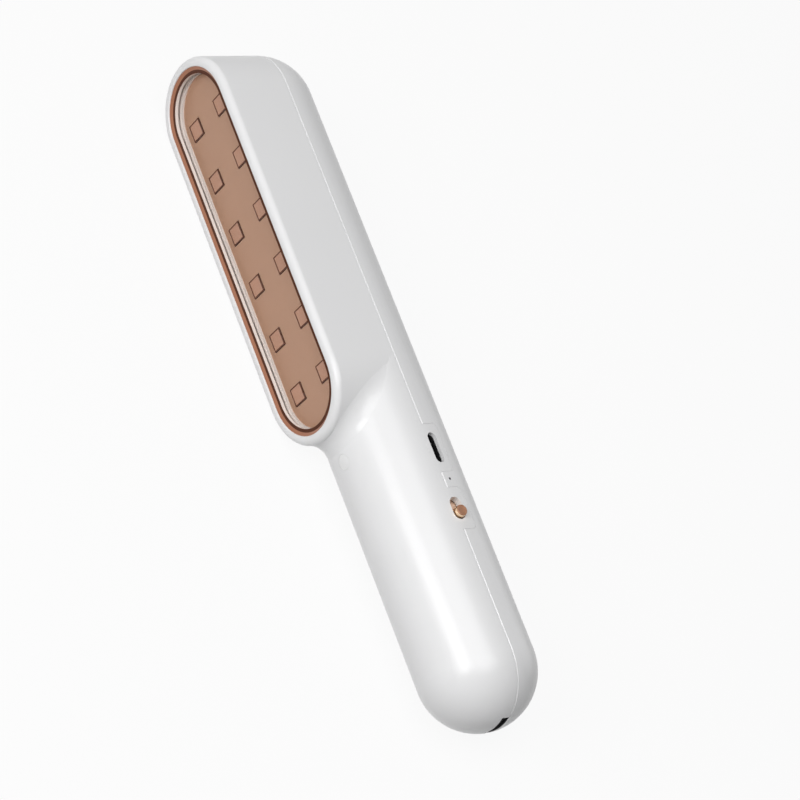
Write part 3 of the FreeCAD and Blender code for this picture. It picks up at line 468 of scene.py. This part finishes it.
def circuit_board(name, mask, copper):
    """Solder mask with buried copper tracks in a maze."""
    finish = Finish(name)
    tracks = finish.node("ShaderNodeTexBrick", {"offset": 0.37, "squash": 1.6},
                         {"Vector": finish.place, "Scale": 1.0, "Mortar Size": 0.09 * MM,
                          "Brick Width": 2.3 * MM, "Row Height": 0.8 * MM}, output="Fac")
    grain = finish.noise(0.3 * MM)
    return finish.surface(
        Base_Color=finish.blend(0.55 * tracks + 0.08 * grain, mask, copper),
        Roughness=0.35 + 0.15 * grain, Coat_Weight=0.3 * grain,
        Normal=finish.relief(tracks, 0.02 * MM))


def foam(name, colour):
    """Closed-cell foam with a dimpled face."""
    finish = Finish(name)
    cells = finish.node("ShaderNodeTexVoronoi", {"feature": "F1"},
                        {"Vector": finish.place, "Scale": 1 / (0.45 * MM)})
    return finish.surface(
        Base_Color=finish.shades(cells, colour, 0.4), Roughness=0.95,
        Normal=finish.relief(cells, 0.12 * MM))


def printed_sleeve(name, colour, band, band_width=6 * MM):
    """Shrink sleeve of the cell, with a plain pale band at its button end."""
    finish = Finish(name)
    button_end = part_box("battery_cell")[1].x
    ring = finish.coordinate(0) > button_end - band_width
    wrinkles = finish.stretched_noise((9 * MM, 1.5 * MM, 1.5 * MM))
    return finish.surface(
        Base_Color=finish.blend(ring, finish.shades(wrinkles, colour, 0.06), band),
        Roughness=0.28 + 0.12 * wrinkles, Normal=finish.relief(wrinkles, 0.02 * MM))


def dark_moulding(name, colour, roughness=0.55):
    """Dark matt body of plastic, epoxy, ferrite or blackened metal, with a fine grain."""
    finish = Finish(name)
    grain = finish.noise(0.12 * MM, 3.0)
    return finish.surface(
        Base_Color=finish.shades(grain, colour, 0.15), Roughness=roughness + 0.15 * grain,
        Normal=finish.relief(grain, 0.006 * MM))


def wire_jacket(name, axis, border, below, above):
    """Insulation of two wires, with another colour on each side of a border on one axis."""
    finish = Finish(name)
    side = finish.coordinate(axis) > border
    skin = finish.noise(0.8 * MM)
    return finish.surface(
        Base_Color=finish.blend(side, below, above), Roughness=0.4 + 0.15 * skin,
        Normal=finish.relief(skin, 0.01 * MM))


def dress(node, material):
    """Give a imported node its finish."""
    slots = NODES[node].data.materials
    for i in range(len(slots)):
        slots[i] = material


# Mesh building


def add_piece(name, mesh_maker, body, stands_for=(), materials=()):
    """Make a piece from a bmesh, let it ride on its body and hide the parts that it stands for."""
    mesh = bpy.data.meshes.new(name)
    shape = bmesh.new()
    mesh_maker(shape)
    bmesh.ops.recalc_face_normals(shape, faces=shape.faces)
    shape.to_mesh(mesh)
    shape.free()
    piece = bpy.data.objects.new(name, mesh)
    bpy.context.scene.collection.objects.link(piece)
    for material in materials:
        mesh.materials.append(material)
    keep_piece(piece, body, stands_for)


def keep_piece(piece, body, stands_for=()):
    """Let a finished piece ride on its body, and hide the parts that it stands for."""
    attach(piece, body)
    if stands_for:
        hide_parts(*stands_for)


def lathe(shape, profile, centre, segments):
    """Closed solid of revolution about Z, from rings given as (radius, height, finish).

    The first and the last ring are points on the axis, and a ring's finish is that of the
    band up to the next one."""
    rings = []
    for radius, height, _ in profile:
        if radius == 0:
            rings.append([shape.verts.new(centre + Vector((0, 0, height)))])
            continue
        turns = [2 * math.pi * k / segments for k in range(segments)]
        rings.append([shape.verts.new(centre + Vector((radius * math.cos(turn),
                                                       radius * math.sin(turn), height)))
                      for turn in turns])
    for (lower, upper), (_, _, finish) in zip(zip(rings, rings[1:]), profile):
        for k in range(segments):
            following = (k + 1) % segments
            corners = [lower[k % len(lower)], lower[following % len(lower)],
                       upper[following % len(upper)], upper[k % len(upper)]]
            face = shape.faces.new(list(dict.fromkeys(corners)))
            face.material_index = finish
            face.smooth = True


def rounded_plate(shape, low, high, corner, finish, steps=8):
    """Flat plate with round corners in X and Y."""
    outline = []
    for cx, cy, start in ((high.x - corner, high.y - corner, 0), (low.x + corner, high.y - corner, 1),
                          (low.x + corner, low.y + corner, 2), (high.x - corner, low.y + corner, 3)):
        for k in range(steps + 1):
            angle = math.pi / 2 * (start + k / steps)
            outline.append((cx + corner * math.cos(angle), cy + corner * math.sin(angle)))
    floors = [[shape.verts.new((x, y, z)) for x, y in outline] for z in (low.z, high.z)]
    faces = [shape.faces.new(floors[0]), shape.faces.new(floors[1])]
    for k in range(len(outline)):
        following = (k + 1) % len(outline)
        faces.append(shape.faces.new([floors[0][k], floors[0][following],
                                      floors[1][following], floors[1][k]]))
    for face in faces:
        face.material_index = finish


def made_by_rule(name, graph, inputs):
    """Run a geometry rule once and return its plain mesh as an object."""
    mesh = bpy.data.meshes.new(name + "_seed")
    carrier = bpy.data.objects.new(name + "_seed", mesh)
    bpy.context.scene.collection.objects.link(carrier)
    modifier = carrier.modifiers.new(name, "NODES")
    modifier.node_group = graph.tree
    for item in graph.tree.interface.items_tree:
        if item.item_type == "SOCKET" and item.in_out == "INPUT" and item.name in inputs:
            modifier[item.identifier] = inputs[item.name]
    bpy.context.view_layer.update()
    evaluated = carrier.evaluated_get(bpy.context.evaluated_depsgraph_get())
    result = bpy.data.meshes.new_from_object(evaluated)
    carrier.modifiers.clear()
    bpy.data.objects.remove(carrier)
    bpy.data.meshes.remove(mesh)
    if not result.polygons:
        raise RuntimeError(name + " came out empty")
    piece = bpy.data.objects.new(name, result)
    bpy.context.scene.collection.objects.link(piece)
    return piece


def new_rule(name, inputs):
    """Geometry tree with named inputs, and the values that they bring in."""
    tree = bpy.data.node_groups.new(name, "GeometryNodeTree")
    kinds = {"float": "NodeSocketFloat", "int": "NodeSocketInt", "vector": "NodeSocketVector",
             "material": "NodeSocketMaterial"}
    for label, kind in inputs.items():
        tree.interface.new_socket(label, in_out="INPUT", socket_type=kinds[kind])
    tree.interface.new_socket("Geometry", in_out="OUTPUT", socket_type="NodeSocketGeometry")
    graph = Graph(tree)
    entry = graph.node("NodeGroupInput")
    return graph, {label: entry.also(label) for label in inputs}


def repeat_on_grid(graph, piece, size_x, size_y, count_x, count_y, place):
    """End a rule: lay copies of a piece on a grid, make them real and send them out.

    place holds the Transform inputs that bring the grid from the origin to the wand."""
    grid = graph.node("GeometryNodeMeshGrid", {},
                      {"Size X": size_x, "Size Y": size_y,
                       "Vertices X": count_x, "Vertices Y": count_y})
    placed = graph.node("GeometryNodeTransform", {}, {"Geometry": grid, **place})
    copies = graph.node("GeometryNodeInstanceOnPoints", {}, {"Points": placed, "Instance": piece})
    plain = graph.node("GeometryNodeRealizeInstances", {}, {"Geometry": copies})
    graph.node("NodeGroupOutput", {}, {"Geometry": plain})


def emitter_rule():
    """Rule for the grid of light-emitting squares, each a frame with a sunk face."""
    graph, given = new_rule("emitter_grid", {
        "Centre": "vector", "Columns pitch": "float", "Rows pitch": "float", "Rows": "int",
        "Side": "float", "Height": "float", "Frame": "float", "Sink": "float",
        "Edge finish": "material", "Face finish": "material"})
    side = given["Side"]
    size = graph.node("ShaderNodeCombineXYZ", {}, {0: side, 1: given["Height"], 2: side})
    block = graph.node("GeometryNodeMeshCube", {}, {"Size": size})
    # The edge finish covers the frame and the sides, whose dark colour is partly painted shade.
    edged = graph.node("GeometryNodeSetMaterial", {},
                       {"Geometry": block, "Material": given["Edge finish"]})
    normal = graph.node("GeometryNodeInputNormal")
    front = graph.node("ShaderNodeSeparateXYZ", {}, {0: normal}, output=1) > 0.5
    split = graph.node("GeometryNodeExtrudeMesh", {"mode": "FACES"},
                       {"Mesh": edged, "Selection": front, "Offset Scale": 0.0}, output="Mesh")
    face = split.also("Top")
    inset = graph.node("GeometryNodeScaleElements", {},
                       {"Geometry": split, "Selection": face,
                        "Scale": 1.0 - 2.0 * given["Frame"] / side})
    sunk = graph.node("GeometryNodeExtrudeMesh", {"mode": "FACES"},
                      {"Mesh": inset, "Selection": face, "Offset Scale": 0.0 - given["Sink"]},
                      output="Mesh")
    square = graph.node("GeometryNodeSetMaterial", {},
                        {"Geometry": sunk, "Selection": sunk.also("Top"),
                         "Material": given["Face finish"]})
    upright = (math.pi / 2, 0.0, 0.0)
    repeat_on_grid(graph, square, given["Rows pitch"] * (given["Rows"] - 1),
                   given["Columns pitch"], given["Rows"], 2,
                   {"Translation": given["Centre"], "Rotation": upright})
    return graph


def contact_rule():
    """Rule for the flat contacts on both faces of the socket's tongue."""
    graph, given = new_rule("contact_rows", {
        "Centre": "vector", "Pitch": "float", "Count": "int", "Faces apart": "float",
        "Size": "vector", "Finish": "material"})
    block = graph.node("GeometryNodeMeshCube", {}, {"Size": given["Size"]})
    contact = graph.node("GeometryNodeSetMaterial", {},
                         {"Geometry": block, "Material": given["Finish"]})
    repeat_on_grid(graph, contact, given["Pitch"] * (given["Count"] - 1), given["Faces apart"],
                   given["Count"], 2, {"Translation": given["Centre"]})
    return graph


# Pieces


def colours():
    """The colours that the user may change."""
    return bpy.context.scene.wand_colours


def sizes():
    """The sizes that the user may change."""
    return bpy.context.scene.wand_sizes


class WAND_OT_casing(bpy.types.Operator):
    """Finish the two shells in white gloss plastic, with painted shade on the strap slot's inner walls
    """

    bl_idname = "wand.casing"
    bl_label = "Casing"

    def execute(self, context):
        mouth = next(mount for mount in frame["record"]["mounts"] if mount["name"] == "strap_slot")
        centre = Vector(mouth["pos_m"])
        skin = 0.05 * MM
        reach = Vector((sizes().slot_depth, sizes().slot_width / 2 + skin,
                        sizes().slot_length / 2 + skin))
        # Painted shade: the strap slot's inner walls are coloured dark inside the white casing.
        white = moulded_gloss("casing_white_gloss", colours().casing,
                              shaded_hollow=(centre - reach, centre + reach, colours().slot_painted_shade))
        dress("front_shell", white)
        dress("rear_shell", white)
        return {"FINISHED"}


class WAND_OT_window(bpy.types.Operator):
    """Finish the copper trim ring, the pale spacer, the clear window and the reflector"""

    bl_idname = "wand.window"
    bl_label = "Window stack"

    def execute(self, context):
        dress("trim_ring", banded_trim("trim_banded", colours().trim, colours().trim_ledge_shade,
                                       colours().spacer))
        dress("spacer_ring", moulded_gloss("spacer_pale", colours().spacer, 0.22))
        dress("window_lens", clear_window("window_clear", colours().window))
        dress("reflector_plate", satin_copper("reflector_copper", colours().reflector,
                                             metallic=0.0, roughness=0.4))
        return {"FINISHED"}


class WAND_OT_emitters(bpy.types.Operator):
    """Make the twelve light-emitting squares from a grid rule"""

    bl_idname = "wand.emitters"
    bl_label = "Emitters"

    def execute(self, context):
        low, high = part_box("led_packages")
        side = sizes().emitter_size
        rows = sizes().emitter_rows
        # The frame and sides are coloured dark, partly as painted shade on the sides.
        edge = satin_copper("emitter_edge", colours().emitter_edge, metallic=0.8, roughness=0.4)
        face = satin_copper("emitter_face", colours().emitter_face, metallic=0.0, roughness=0.4)
        piece = made_by_rule("emitter_squares", emitter_rule(), {
            "Centre": (low + high) / 2, "Columns pitch": high.z - low.z - side,
            "Rows pitch": (high.x - low.x - side) / (rows - 1), "Rows": rows, "Side": side,
            "Height": high.y - low.y, "Frame": sizes().emitter_frame,
            "Sink": sizes().emitter_sink, "Edge finish": edge, "Face finish": face})
        keep_piece(piece, "wand", ["led_packages"])
        return {"FINISHED"}


class WAND_OT_switch(bpy.types.Operator):
    """Make the switch's copper knob on its shutter, and finish the switch behind it"""

    bl_idname = "wand.switch"
    bl_label = "Switch"

    def execute(self, context):
        low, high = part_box("slide_knob")
        centre = Vector(((low.x + high.x) / 2, (low.y + high.y) / 2, 0))
        radius = sizes().knob_radius
        chamfer = sizes().knob_chamfer
        plate_top = low.z + sizes().shutter_thickness
        foot = plate_top - 0.1 * MM  # the knob's side starts a little inside the plate
        top = high.z
        edge = radius - chamfer - 0.05 * MM  # the flat ring between the chamfer and the dish
        floor = edge - 0.07 * MM
        on_top, on_shutter, on_side = range(3)

        def make(shape):
            rounded_plate(shape, low, Vector((high.x, high.y, plate_top)),
                          sizes().shutter_corner, on_shutter)
            profile = [(0, foot, on_shutter), (radius, foot, on_side), (radius, top - chamfer, on_top),
                       (radius - 0.3 * chamfer, top - 0.35 * chamfer, on_top),
                       (radius - chamfer, top, on_top), (edge, top, on_top),
                       (floor, top - sizes().knob_dish, on_top), (0, top - sizes().knob_dish, on_top)]
            lathe(shape, profile, centre, sizes().knob_segments)

        blasted = blasted_copper("knob_blasted", colours().knob)
        plain = satin_copper("knob_shutter", colours().shutter, metallic=0.1, roughness=0.35)
        bright = brushed_metal("knob_polished", colours().knob_side, 0.16)
        add_piece("switch_knob", make, "knob", ["slide_knob"], [blasted, plain, bright])
        dress("switch_actuator", dark_moulding("lever_black", (0.02, 0.02, 0.022)))
        dress("switch_housing", brushed_metal("switch_steel", (0.55, 0.55, 0.53), 0.3))
        return {"FINISHED"}


class WAND_OT_socket(bpy.types.Operator):
    """Finish the charging socket, and lay the contacts along its tongue"""

    bl_idname = "wand.socket"
    bl_label = "Charging socket"

    def execute(self, context):
        # The receptacle's near-black colour is partly a blackened finish and partly painted shade for
        # the deep socket mouth.
        dress("usb_receptacle", dark_moulding("socket_blackened", (0.012, 0.012, 0.013), 0.4))
        dress("usb_tongue", dark_moulding("tongue_black", (0.006, 0.006, 0.007), 0.5))
        low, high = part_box("usb_tongue")
        proud = 0.02 * MM
        from_tip = 0.3 * MM
        length = sizes().contact_length
        contact = (sizes().contact_width, 2 * proud, length)
        centre = Vector(((low.x + high.x) / 2, (low.y + high.y) / 2,
                         high.z - length / 2 - from_tip))
        piece = made_by_rule("tongue_contacts", contact_rule(), {
            "Centre": centre, "Pitch": sizes().contact_pitch, "Count": sizes().contacts,
            "Faces apart": high.y - low.y, "Size": contact,
            "Finish": brushed_metal("contact_gilt", (0.35, 0.26, 0.12), 0.35)})
        keep_piece(piece, "wand")
        return {"FINISHED"}


class WAND_OT_lights(bpy.types.Operator):
    """Finish the indicator's milky disc and the status light's pipe"""

    bl_idname = "wand.lights"
    bl_label = "Indicator and status light"

    def execute(self, context):
        dress("indicator_lens", milky_plastic("indicator_milky", colours().indicator))
        dress("light_pipe", milky_plastic("pipe_smoke", (0.045, 0.045, 0.05), 0.2))
        diode = milky_plastic("diode_cream", (0.75, 0.66, 0.4), 0.35)
        dress("status_led", diode)
        dress("indicator_led", diode)
        return {"FINISHED"}


class WAND_OT_inside(bpy.types.Operator):
    """Finish the pieces inside: cell, boards, screws, wires and the strap's bar"""

    bl_idname = "wand.inside"
    bl_label = "Inside pieces"

    def execute(self, context):
        dress("lanyard_bar", brushed_metal("bar_steel", (0.5, 0.5, 0.5), 0.25,
                                           (HAIR, 2 * MM, HAIR)))
        dress("led_board", circuit_board("board_white", (0.75, 0.75, 0.72), (0.62, 0.6, 0.52)))
        green = circuit_board("board_green", (0.01, 0.09, 0.035), (0.03, 0.2, 0.08))
        dress("control_board", green)
        dress("indicator_board", green)
        dress("heat_spreader", brushed_metal("spreader_aluminium", (0.66, 0.67, 0.68), 0.35))
        dress("stack_screws", brushed_metal("screw_zinc", (0.5, 0.5, 0.52), 0.3))
        dress("battery_cell", printed_sleeve("cell_sleeve", (0.02, 0.11, 0.3), (0.7, 0.7, 0.68)))
        dress("battery_tabs", brushed_metal("strip_nickel", (0.6, 0.57, 0.5), 0.3))
        dress("battery_foam", foam("foam_grey", (0.06, 0.06, 0.065)))
        dress("power_inductor", dark_moulding("inductor_ferrite", (0.03, 0.03, 0.032)))
        dress("driver_chips", dark_moulding("chip_epoxy", (0.012, 0.012, 0.013), 0.45))
        dress("capacitors", dark_moulding("capacitor_ceramic", (0.32, 0.2, 0.1), 0.35))
        dress("wire_connectors", milky_plastic("connector_nylon", (0.7, 0.68, 0.6), 0.4))
        red, black = (0.5, 0.02, 0.015), (0.01, 0.01, 0.011)
        dress("led_wires", wire_jacket("led_wire", 1, middle("led_wires").y, red, black))
        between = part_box("battery_wires")[1].x - 12 * MM
        dress("battery_wires", wire_jacket("battery_wire", 0, between, black, red))
        dress("indicator_wires", wire_jacket("indicator_wire", 2, middle("indicator_board").z,
                                             red, black))
        return {"FINISHED"}


# Stage


def area_lamp(name, direction, target, distance, size, power):
    """Square soft lamp that faces a point."""
    data = bpy.data.lights.new(name, "AREA")
    data.size = size
    data.energy = power
    lamp = bpy.data.objects.new(name, data)
    way = Vector(direction).normalized()
    lamp.location = target + way * distance
    lamp.rotation_euler = way.to_track_quat("Z", "X").to_euler()
    bpy.context.scene.collection.objects.link(lamp)


def shown_share(graph):
    """1 for a ray that looks, reflects or passes through glass, and 0 for one that lights."""
    looks = graph.node("ShaderNodeLightPath", output="Is Camera Ray")
    shown = graph.maths("MAXIMUM", looks, looks.also("Is Glossy Ray"))
    return graph.maths("MAXIMUM", shown, looks.also("Is Transmission Ray"))


def floor_finish(settings):
    """Pale floor that keeps the wand's shadow."""
    finish = Finish("floor_pale")
    grain = finish.noise(40 * MM)
    matt = finish.node("ShaderNodeBsdfDiffuse", {},
                       {"Color": finish.shades(grain, settings.floor_colour, 0.004)})
    glow = finish.node("ShaderNodeEmission", {}, {"Color": (1.0, 1.0, 1.0), "Strength": 1.0})
    mixed = finish.node("ShaderNodeMixShader", {},
                        {0: shown_share(finish) * settings.floor_glow, 1: matt, 2: glow})
    finish.node("ShaderNodeOutputMaterial", {}, {"Surface": mixed})
    return finish.material


def studio_world(settings):
    """Faint light from all round, and white where a ray looks or a gloss reflects."""
    world = bpy.data.worlds.new("studio")
    bpy.context.scene.world = world
    world.use_nodes = True
    graph = Graph(world.node_tree)
    graph.tree.nodes.clear()
    sky = graph.node("ShaderNodeBackground", {},
                     {"Color": (1.0, 1.0, 1.0), "Strength": settings.sky})
    white = graph.node("ShaderNodeBackground", {},
                       {"Color": (1.0, 1.0, 1.0), "Strength": 1.0})
    mixed = graph.node("ShaderNodeMixShader", {}, {0: shown_share(graph), 1: sky, 2: white})
    graph.node("ShaderNodeOutputWorld", {}, {"Surface": mixed})


def lay_floor(settings):
    """Square floor just under the wand."""
    reach = settings.floor_reach
    level = CAD_BOX[0].z - 0.02 * MM
    mesh = bpy.data.meshes.new("floor")
    mesh.from_pydata([(-reach, -reach, level), (reach, -reach, level),
                      (reach, reach, level), (-reach, reach, level)], [], [(0, 1, 2, 3)])
    mesh.materials.append(floor_finish(settings))
    floor = bpy.data.objects.new("floor", mesh)
    bpy.context.scene.collection.objects.link(floor)


def stand_camera(settings):
    """Camera that looks at a point from its place, rolled about its line of sight."""
    data = bpy.data.cameras.new("camera")
    data.lens = settings.lens
    data.clip_start = 10 * MM
    camera = bpy.data.objects.new("camera", data)
    sight = settings.camera_target - settings.camera_place
    camera.location = settings.camera_place
    camera.rotation_mode = "QUATERNION"
    camera.rotation_quaternion = (sight.to_track_quat("-Z", "Y")
                                  @ Quaternion((0, 0, 1), settings.camera_roll))
    bpy.context.scene.collection.objects.link(camera)
    bpy.context.scene.camera = camera


class WAND_OT_stage(bpy.types.Operator):
    """Set up the pale floor, the soft lamps and the camera"""

    bl_idname = "wand.stage"
    bl_label = "Studio"

    def execute(self, context):
        settings = context.scene.wand_stage
        context.scene.view_settings.view_transform = "Standard"
        lay_floor(settings)
        studio_world(settings)
        target = (CAD_BOX[0] + CAD_BOX[1]) / 2
        for name, direction, size, power in (
                ("key_lamp", (0.02, 0.83, 0.56), settings.key_size, settings.key_power),
                ("top_lamp", (-0.05, 0.32, 0.94), settings.top_size, settings.top_power),
                ("back_lamp", (0.0, -0.98, 0.21), settings.fill_size, settings.fill_power),
                ("tip_lamp", (0.98, 0.0, 0.21), settings.fill_size, settings.fill_power)):
            area_lamp(name, direction, target, settings.lamp_distance, size, power)
        stand_camera(settings)
        return {"FINISHED"}


class WAND_PT_panel(bpy.types.Panel):
    """Lists the wand's pieces, sizes and colours"""

    bl_idname = "WAND_PT_panel"
    bl_label = "Light Wand"
    bl_space_type = "VIEW_3D"
    bl_region_type = "UI"
    bl_category = "Light Wand"

    def draw(self, context):
        for operator in PIECES:
            self.layout.operator(operator.bl_idname)
        for group in (context.scene.wand_sizes, context.scene.wand_colours,
                      context.scene.wand_stage):
            box = self.layout.box()
            for name in group.__annotations__:
                box.prop(group, name)


PIECES = (WAND_OT_casing, WAND_OT_window, WAND_OT_emitters, WAND_OT_switch, WAND_OT_socket,
          WAND_OT_lights, WAND_OT_inside, WAND_OT_stage)
CLASSES = (WandSizes, WandColours, StageSettings, *PIECES, WAND_PT_panel)


def register():
    for made in CLASSES:
        bpy.utils.register_class(made)
    bpy.types.Scene.wand_sizes = PointerProperty(type=WandSizes)
    bpy.types.Scene.wand_colours = PointerProperty(type=WandColours)
    bpy.types.Scene.wand_stage = PointerProperty(type=StageSettings)


def unregister():
    del bpy.types.Scene.wand_stage
    del bpy.types.Scene.wand_colours
    del bpy.types.Scene.wand_sizes
    for made in reversed(CLASSES):
        bpy.utils.unregister_class(made)


def main():
    register()
    bpy.ops.wand.casing()
    bpy.ops.wand.window()
    bpy.ops.wand.emitters()
    bpy.ops.wand.switch()
    bpy.ops.wand.socket()
    bpy.ops.wand.lights()
    bpy.ops.wand.inside()
    bpy.ops.wand.stage()


if __name__ == "__main__":
    main()
